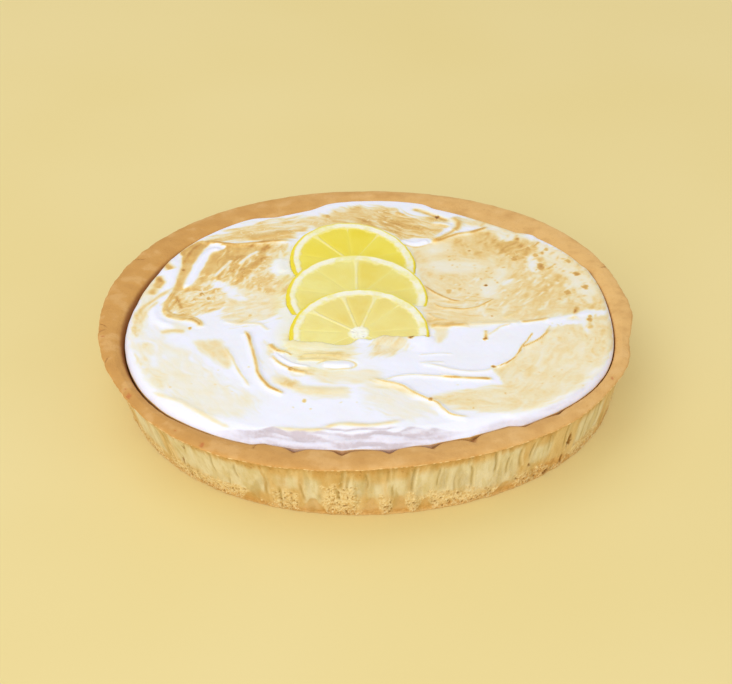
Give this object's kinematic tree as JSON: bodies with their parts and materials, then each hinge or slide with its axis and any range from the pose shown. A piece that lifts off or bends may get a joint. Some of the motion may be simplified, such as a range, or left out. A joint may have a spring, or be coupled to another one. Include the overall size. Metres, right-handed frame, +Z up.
{
  "type": "lemon meringue pie",
  "caption": "Round open pie: slanted shortcrust wall with a thumbed flat rim, a knife-spread browned meringue top, and lemon slices shingled across it.",
  "frame": {"origin": "centre of the base, on the surface that the pie stands on", "axes": "+Z up through the pie; +Y from the front lemon slice to the back one; +X to the right as seen from the front"},
  "size_m": [0.2275, 0.229, 0.0376],
  "materials": {
    "shortcrust": "baked shortcrust pastry: dry and matt, golden tan on the rim, pale cream on the wall with ochre streaks and a browned foot",
    "meringue": "soft whipped meringue: satin white, toasted to cream and caramel on its crests",
    "lemon": "fresh lemon: moist pale yellow pulp, cream pith and a bright yellow rind"
  },
  "bodies": {
    "root": {"crust": "shortcrust", "meringue": "meringue", "lemon_slice_front": "lemon", "lemon_slice_middle": "lemon", "lemon_slice_back": "lemon"}
  },
  "joints": []
}
